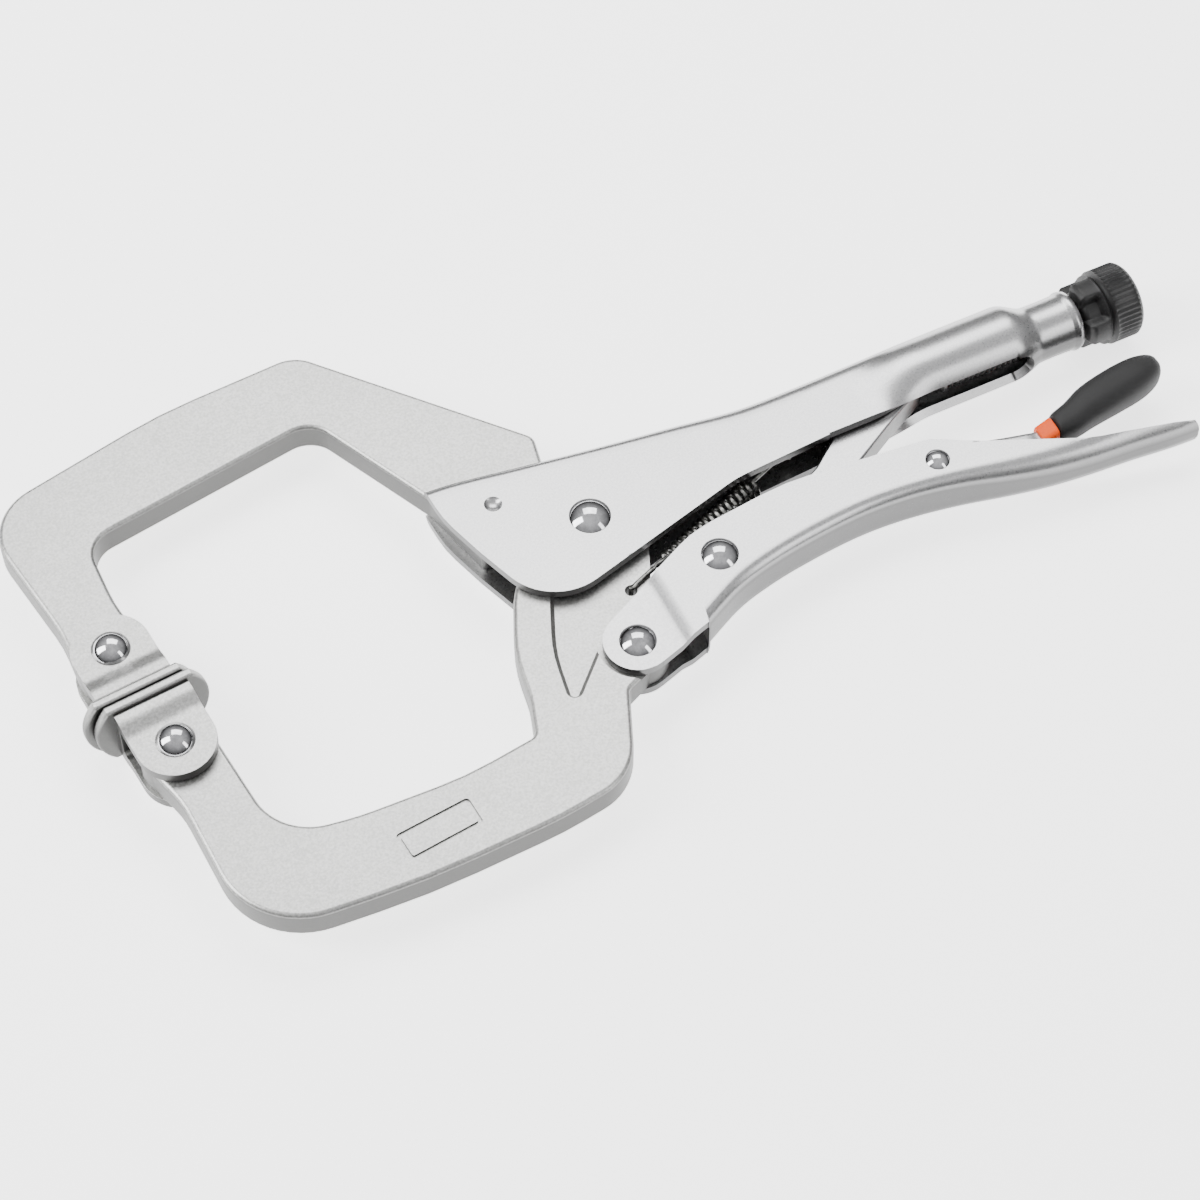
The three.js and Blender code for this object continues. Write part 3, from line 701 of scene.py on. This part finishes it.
def makeLowerHandle(cfg):
    stations = [-16, -12, -8, -4, 0, 3.4, 5, 6.8, 8, 9.2, 10.4, 12]
    stations += [14 + 2.0 * k for k in range(65)] + [144]
    perSide = 22

    def backAt(x):
        straight = [s for s in cfg["back"] if s[0] <= 12]
        x = max(x, straight[0][0])
        if x <= 12:
            i = max(k for k, s in enumerate(straight[:-1]) if s[0] <= x)
            (nearX, nearY), (farX, farY) = straight[i], straight[i + 1]
            return mix(nearY, farY, (x - nearX) / (farX - nearX))
        return along(cfg["back"][2:], x)

    # back, half width, bend and depth of the fold at x, thinned by inset for the inside
    def section(x, inset):
        back = backAt(x)
        half = mix(shared["earHalf"], shared["cheekHalf"], smooth(x, 3.4, 6.8))
        bend = mix(*cfg["bend"], smooth(x, 70, 118))
        lips = cfg["lips"] if inset == 0 else cfg["lips"] + 1
        return back + inset, half - inset, bend - inset, lips - back - inset

    # outside less inside, each a closed solid: a thickened skin would fold through itself at the ears
    body = foldedSolid("lowerHandle", stations, perSide, lambda x: section(x, 0))
    past = [stations[0] - 1, *stations, stations[-1] + 1]
    combine(body, foldedSolid("inside", past, perSide, lambda x: section(x, shared["sheet"])))
    sideShape = plate("side", roundCorners(cfg["side"]), -12, 12)
    combine(sideShape, drum("ears", handlePivot, shared["earRadius"], sides=72), "UNION")
    combine(body, sideShape, "INTERSECT")
    combine(body, plate("belowEar", roundCorners(cfg["belowEar"]), -12, 12))
    plan = plate("plan", roundCorners(cfg["plan"]), -5, 55)
    plan.data.transform(Matrix.Rotation(math.radians(90), 4, "X"))
    combine(body, plan, "INTERSECT")
    pivots = {"handle": handlePivot, "link": linkPivot, "lever": leverPivot}
    for pivot, radius in cfg["holes"]:
        combine(body, drum("hole", pivots[pivot], radius))
    softenEdges(body, shared["sheetEdge"], 2)
    return finishPiece(body, "handle", nickelPlatedSheet, "lower_handle")


makeLowerHandle(lowerHandle)
print("handles made")

# Toggle link
toggleLink = {
    "half": 3.6,
    "sheet": 1.8,
    "side": [
        (17, -18.2, 5.6), (37.6, -10.6, 20), (53, -10.6, 10), (78, 8.8, 8), (89.9, 9.6, 4.4),
        (89.9, 0.8, 4.4),
        (79, -4.4, 20), (63.5, -13, 20), (52, -20.5, 20), (30, -27.6, 10), (18, -29.2, 5.6),
    ],
    "hollow": [
        (10, -18.2), (10, -34), (28, -26.9, 4), (51, -18.4, 14), (63, -10.7, 14), (78, -2.4, 4),
        (78, 14), (45, 8),
    ],
    "pinHole": 3.15,
}


def makeToggleLink(cfg):
    half, inside = cfg["half"], cfg["half"] - cfg["sheet"]
    body = plate("toggleLink", roundCorners(cfg["side"]), -half, half, 0.6, 3)
    combine(body, plate("hollow", roundCorners(cfg["hollow"]), -inside, inside))
    combine(body, drum("hole", linkPivot, cfg["pinHole"]))
    return finishPiece(body, "link", nickelPlatedSheet, "toggle_link")


makeToggleLink(toggleLink)

# Release lever, its orange collar and its grip: (x, middle height, half height, half width)
releaseLever = {
    "lever": [
        (63.6, -19, 1.4, 3), (66, -19.6, 2.3, 3.6), (72, -20.8, 3.4, 3.8), (76.5, -21.35, 4.45, 3.8),
        (84, -21.9, 4.8, 3.8), (90, -21.4, 3.4, 3.4), (97, -22.6, 2.8, 2.8), (105, -23.9, 2.4, 2.2),
        (107, -23.7, 2, 1.8), (126, -20.6, 2, 1.8), (134, -19.2, 1.6, 1.8),
    ],
    "grip": [
        (112.3, -22.6, 3.1, 3.3), (113.1, -22.5, 3.5, 3.8), (117, -21.9, 4.1, 4.2),
        (122.6, -20.2, 4.8, 4.6),
        (130, -18.9, 5.1, 4.9), (137, -18, 4.9, 4.9), (141.2, -17.5, 4, 4.3), (143.5, -17.2, 2.7, 3.2),
        (144.6, -17, 1, 1.4),
    ],
    "collarEdge": 0.3,
    "collar": [(107.4, -23.5, 2.7, 2.6), (112, -22.7, 2.9, 2.9)],
    "pinHole": 2.35,
}


# A rounded bar through stations; power 2 is an ellipse and higher powers are squarer.
def roundedBar(name, stations, power, steps, around=40):
    first, last = stations[0][0], stations[-1][0]
    places = [mix(first, last, k / steps) for k in range(steps + 1)]

    def place(column, row):
        ending = column in (0, steps + 2)  # each end is closed by a ring drawn in to its middle
        x = places[min(max(column - 1, 0), steps)]
        middle, high, wide = (along(stations, x, c) for c in (1, 2, 3))
        a = 2 * math.pi * row / around
        shrink = 0.0 if ending else 1.0
        bulge = [math.copysign(abs(f) ** (2 / power), f) for f in (math.cos(a), math.sin(a))]
        return (x, middle + shrink * high * bulge[0], shrink * wide * bulge[1])

    return skin(name, steps + 3, around + 1, place, closed=True)


def makeReleaseLever(cfg):
    lever = roundedBar("releaseLever", cfg["lever"], 5, 70)
    combine(lever, drum("hole", leverPivot, cfg["pinHole"]))
    finishPiece(lever, "lever", nickelPlatedSheet, "release_lever", 40)
    collar = roundedBar("gripCollar", cfg["collar"], 4, 10)
    softenEdges(collar, cfg["collarEdge"], 3)
    finishPiece(collar, "lever", orangeVinyl, "grip_collar", 40)
    grip = roundedBar("leverGrip", cfg["grip"], 2.6, 70, 48)
    finishPiece(grip, "lever", softVinyl, "release_lever_grip", 60)


makeReleaseLever(releaseLever)
print("link and lever made")

# Adjusting screw with its thread, and the knob
screw = {"tip": 93.5, "threadEnd": 133.4, "pitch": 1.5, "depth": 0.85, "stub": (143.0, 3.4)}


def makeScrew(cfg):
    radius = shared["threadRadius"]
    count = math.ceil((cfg["threadEnd"] - cfg["tip"] - 1.6) / cfg["pitch"] * 8)
    first = cfg["tip"] + 1.6
    rings = [(cfg["tip"], 0), (cfg["tip"], radius - 1.6)]
    rings += [(mix(first, cfg["threadEnd"], k / count), radius) for k in range(count + 1)]
    rings += [(cfg["threadEnd"], cfg["stub"][1]), cfg["stub"], (cfg["stub"][0], 0)]

    def groove(x, ringRadius, a):
        if ringRadius < radius:
            return 0.0
        phase = ((x - first) / cfg["pitch"] - a / (2 * math.pi)) % 1
        runout = smooth(x, first, first + 1.5) * (1 - smooth(x, cfg["threadEnd"] - 0.8, cfg["threadEnd"]))
        return cfg["depth"] * runout * (1 - abs(2 * phase - 1))

    body = turned("adjustingScrew", rings, 48, groove)
    return finishPiece(body, "screw", nickelPlatedForging, "adjusting_screw", 40)


makeScrew(screw)

knob = {
    "start": 134.0, "end": 149.2, "radius": 9.4, "bore": 3.7, "boreEnd": 143.3,
    "lobes": 4, "pocketDepth": 2.6, "pocketEnd": 139.2,
    "ridges": 44, "ridgeDepth": 0.35, "ridgeStart": 141.4, "ridgeEnd": 147.4,
}


def makeKnob(cfg):
    start, end, radius = cfg["start"], cfg["end"], cfg["radius"]
    bore, boreEnd = cfg["bore"], cfg["boreEnd"]
    rings = [(boreEnd, 0), (boreEnd, bore), (start, bore), (start, radius - 2.2)]
    rings += [(start + 0.35, radius - 1.3), (start + 0.9, radius - 0.8)]
    rings += [(start + 1.3 + 0.35 * k, radius - 0.6) for k in range(12)]
    rings += [(139.6, radius - 0.5), (140.1, radius - 0.9), (140.5, radius - 1.1), (140.9, radius - 0.7)]
    rings += [(mix(cfg["ridgeStart"] - 0.2, cfg["ridgeEnd"] + 0.2, k / 10), radius) for k in range(11)]
    rings += [(148.2, radius - 0.4), (148.8, radius - 1.1)]
    rings += [(end, radius - 2.4), (end, radius - 5), (end, 0)]

    def relief(x, ringRadius, a):
        if ringRadius < 5:
            return 0.0
        if x <= cfg["pocketEnd"] + 0.4:
            wave = 0.5 + 0.5 * math.cos(cfg["lobes"] * (a - math.radians(35)))
            ends = smooth(x, start - 0.6, start + 0.2)
            ends *= 1 - smooth(x, cfg["pocketEnd"] - 0.8, cfg["pocketEnd"] + 0.4)
            return cfg["pocketDepth"] * smooth(wave, 0.35, 0.75) * ends
        if cfg["ridgeStart"] <= x <= cfg["ridgeEnd"]:
            ends = smooth(x, cfg["ridgeStart"], cfg["ridgeStart"] + 0.6)
            ends *= 1 - smooth(x, cfg["ridgeEnd"] - 0.6, cfg["ridgeEnd"])
            return cfg["ridgeDepth"] * (0.5 + 0.5 * math.cos(cfg["ridges"] * a)) * ends
        return 0.0

    body = turned("screwKnob", rings, 264, relief)
    return finishPiece(body, "knob", mouldedNylon, "screw_knob", 40)


makeKnob(knob)
print("screw and knob made")

# Return spring
spring = {
    "hole": (0.3, -20.7), "anchor": (52.2, -0.8), "wire": 0.6, "coil": 2.55,
    "turns": 16, "pitch": 1.78, "hookLift": 3.5,
}


def makeSpring(cfg):
    start, end = Vector((*cfg["hole"], 0)), Vector((*cfg["anchor"], 0))
    way = (end - start).normalized()
    side = Vector((-way.y, way.x, 0))
    up = Vector((0, 0, 1))
    length = (end - start).length
    coil = cfg["turns"] * cfg["pitch"]
    lead = (length - coil) / 2

    def centreLine(s):
        turn = min(max((s - lead) / coil, 0), 1)
        a = turn * cfg["turns"] * 2 * math.pi
        lift = mix(cfg["hookLift"], cfg["coil"], smooth(s, lead - 4, lead)) if turn <= 0 else cfg["coil"]
        return start + way * s + side * (cfg["coil"] * math.sin(a)) + up * (lift * math.cos(a))

    straight = [lead * k / 14 for k in range(14)]
    wound = [lead + coil * k / (cfg["turns"] * 22) for k in range(cfg["turns"] * 22 + 1)]
    after = [lead + coil + lead * k / 14 for k in range(1, 15)]
    line = [centreLine(s) for s in [*straight, *wound, *after]]
    # the two hooks turn down through their holes
    line = [Vector((*cfg["hole"], z)) for z in (-1.5, 0.5, 2.4)] + line
    line += [Vector((*cfg["anchor"], z)) for z in (1.4, 0.2, -1.4)]
    around = 10

    def place(column, row):
        i = min(max(column - 1, 0), len(line) - 1)
        tangent = (line[min(i + 1, len(line) - 1)] - line[max(i - 1, 0)]).normalized()
        across = tangent.cross(side if abs(tangent.dot(side)) < abs(tangent.dot(up)) else up).normalized()
        other = tangent.cross(across)
        radius = 0 if column in (0, len(line) + 1) else cfg["wire"]
        a = 2 * math.pi * row / around
        return line[i] + across * (radius * math.cos(a)) + other * (radius * math.sin(a))

    body = skin("returnSpring", len(line) + 2, around + 1, place, closed=True)
    finishPiece(body, None, drawnSpringWire, "return_spring", 60)
    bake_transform(body)


makeSpring(spring)
print("spring made")

# Swivel pads, modelled with the pivot at the origin and the contact face towards -Y
pad = {
    "tilt": 4.5, "reach": 14.35, "radius": 14.0, "half": 9.3, "plate": 2.4,
    "earInner": 4.5, "earRadius": 9.3, "pinHole": 2.75, "foldEdge": 0.5,
}


def makePad(name, body, pivot, turn, replaced, cfg):
    foot = cfg["plate"] - cfg["reach"]
    flank = math.asin(cfg["half"] / cfg["radius"])
    arc = [mix(-flank, flank, k / 20) for k in range(21)]
    rim = [Vector((cfg["radius"] * math.cos(a), cfg["radius"] * math.sin(a))) for a in arc]
    rim += [-point for point in rim]
    shoe = plate(name, rim, -foot, cfg["reach"], 0.7, 3)
    shoe.data.transform(Matrix.Rotation(math.radians(90), 4, "X"))
    wall, outer, inner = cfg["half"] - 1, shared["padEarHalf"], cfg["earInner"]
    top = cfg["earRadius"] + 1
    upper = [
        (foot - 0.4, wall, 1.2), (foot + 3.0, wall, 5.0), (foot + 6.2, outer, 5.5),
        (top, outer), (top, inner),
        (foot + 4.4, inner, 1), (foot + 2.2, inner + 0.9, 1),
    ]
    lower = [(y, -z, *r) for y, z, *r in reversed(upper)]
    bracket = plate("bracket", roundCorners(upper + lower), -cfg["earRadius"], cfg["earRadius"])
    # the section's own axes, Y and Z, stand up and the fold runs along X
    bracket.data.transform(Matrix(((0, 0, 1, 0), (1, 0, 0, 0), (0, 1, 0, 0), (0, 0, 0, 1))))
    ears = cfg["earRadius"]
    corners = [(-ears, foot - 1), (ears, foot - 1), (ears, ears, ears - 0.1), (-ears, ears, ears - 0.1)]
    combine(bracket, plate("earSide", roundCorners(corners), -12, 12), "INTERSECT")
    softenEdges(bracket, cfg["foldEdge"], 3)
    combine(shoe, bracket, "UNION")
    combine(shoe, drum("hole", (0, 0), cfg["pinHole"]))
    placed = toFrame @ Matrix.Translation((*pivot, 0)) @ Matrix.Rotation(math.radians(turn), 4, "Z")
    return finishPiece(shoe, body, nickelPlatedForging, replaced, matrix=placed)


makePad("fixedPad", "upper_pad", fixedPadPivot, pad["tilt"], "fixed_pad", pad)
makePad("movingPad", "lower_pad", movingPadPivot, pad["tilt"] + 180, "moving_pad", pad)
print("pads made")

# Rivets: piece, body, node, centre, shank radius, head radius, head height, half width under the heads
rivets = [
    ("mainRivet", "frame", "main_pivot_rivet", (0, 0), 3.5, 4.9, 2.3, shared["cheekHalf"]),
    ("handleRivet", "jaw", "handle_pivot_rivet", handlePivot, 3.0, 4.3, 2.1, shared["earHalf"]),
    ("linkRivet", "handle", "link_pivot_rivet", linkPivot, 3.0, 4.4, 2.1, shared["cheekHalf"]),
    ("leverRivet", "handle", "release_lever_rivet", leverPivot, 2.2, 2.9, 1.4, shared["cheekHalf"]),
    ("fixedPadRivet", "frame", "fixed_pad_rivet", fixedPadPivot, 2.6, 4.5, 2.9, shared["padEarHalf"]),
    ("movingPadRivet", "jaw", "moving_pad_rivet", movingPadPivot, 2.6, 4.5, 2.9, shared["padEarHalf"]),
]


def makeRivet(name, body, node, centre, shank, headRadius, headHeight, seat):
    under = seat + 0.1
    ball = (headRadius**2 + headHeight**2) / (2 * headHeight)
    spread = math.asin(min(headRadius / ball, 1))
    dome = []
    for k in range(15):
        a = spread * (1 - k / 14)
        dome.append((under + headHeight - ball * (1 - math.cos(a)), ball * math.sin(a)))
    upper = [(0.0, shank), (under, shank), (under, headRadius - 0.2), *dome]
    rings = [(-z, r) for z, r in reversed(upper[1:])] + upper
    solid = turned(name, rings, 56, axisY=0.0)
    # turned stands along X, so it is stood up along Z at its pivot
    placed = toFrame @ Matrix.Translation((*centre, 0)) @ Matrix.Rotation(math.radians(-90), 4, "Y")
    return finishPiece(solid, body, polishedSteel, node, 40, placed)


for rivet in rivets:
    makeRivet(*rivet)
print("rivets made")

# Floor, light and camera
stage = {
    "floor": "#fafafa", "floorSize": 8.0,
    "ceiling": "#c4c4c5", "low": "#0c0c0d", "horizon": (0.05, 0.85), "worldStrength": 1.6, "floorGlow": 2.4,
}


def makeStage(cfg):
    deselectAll()
    bpy.ops.mesh.primitive_plane_add(size=cfg["floorSize"], location=(0, 0, cadLow.z))
    floor = named("floor")
    paper = bpy.data.materials.new("paleBackdropPaper")
    paper.use_nodes = True
    shader = paper.node_tree.nodes["Principled BSDF"]
    shader.inputs["Base Color"].default_value = colour(cfg["floor"])
    shader.inputs["Roughness"].default_value = 0.9
    shader.inputs["Emission Color"].default_value = colour(cfg["floor"])
    shader.inputs["Emission Strength"].default_value = cfg["floorGlow"]
    floor.data.materials.append(paper)
    world = bpy.data.worlds.new("studio")
    world.use_nodes = True
    tree = world.node_tree
    # a bright ceiling and a dark horizon, so that polished and upright faces have something to show
    way = addNode(tree, "ShaderNodeTexCoord").outputs["Generated"]
    height = addNode(tree, "ShaderNodeSeparateXYZ", links={0: way}).outputs["Z"]
    horizon, overhead = cfg["horizon"]
    limits = {"From Min": horizon, "From Max": overhead}
    share = addNode(tree, "ShaderNodeMapRange", limits, {"Value": height})
    tone = addNode(
        tree,
        "ShaderNodeMix",
        {"data_type": "RGBA", 6: colour(cfg["low"]), 7: colour(cfg["ceiling"])},
        {0: share.outputs["Result"]},
    )
    back = tree.nodes["Background"]
    tree.links.new(tone.outputs[2], back.inputs["Color"])
    back.inputs["Strength"].default_value = cfg["worldStrength"]
    bpy.context.scene.world = world


makeStage(stage)

# Soft boxes: where each stands, how large it is and how strong.
lights = [
    {"name": "overhead", "at": (0.2, 0.45, 0.8), "size": (0.8, 0.5), "watts": 6.5},
    {"name": "left", "at": (-0.75, 0.25, 0.6), "size": (0.4, 0.8), "watts": 10.0},
    {"name": "right", "at": (0.5, -0.7, 0.5), "size": (0.25, 0.6), "watts": 2.0},
]


def makeLights(boxes):
    for box in boxes:
        lamp = bpy.data.lights.new(box["name"], "AREA")
        lamp.shape = "RECTANGLE"
        lamp.size, lamp.size_y = box["size"]
        lamp.energy = box["watts"]
        holder = bpy.data.objects.new(box["name"], lamp)
        holder.location = box["at"]
        holder.rotation_euler = (-Vector(box["at"])).to_track_quat("-Z", "Y").to_euler()
        bpy.context.scene.collection.objects.link(holder)


makeLights(lights)

# Angles in degrees, the distance and the point aimed at in millimetres from the main pivot.
camera = {
    "lens": 100.0, "sensor": 36.0,
    "azimuth": -26.4, "elevation": 56.0, "distance": 767.1, "aim": (-6.45, -18.2),
}


def makeCamera(cfg):
    data = bpy.data.cameras.new("camera")
    data.lens = cfg["lens"]
    data.sensor_width = cfg["sensor"]
    holder = bpy.data.objects.new("camera", data)
    a, e = math.radians(cfg["azimuth"]), math.radians(cfg["elevation"])
    back = Vector((math.sin(a) * math.cos(e), -math.cos(a) * math.cos(e), math.sin(e)))
    holder.location = toFrame @ Vector((*cfg["aim"], 0)) + back * cfg["distance"] * millimetre
    holder.rotation_euler = (-back).to_track_quat("-Z", "Y").to_euler()
    bpy.context.scene.collection.objects.link(holder)
    bpy.context.scene.camera = holder


makeCamera(camera)
print("stage, light and camera set")
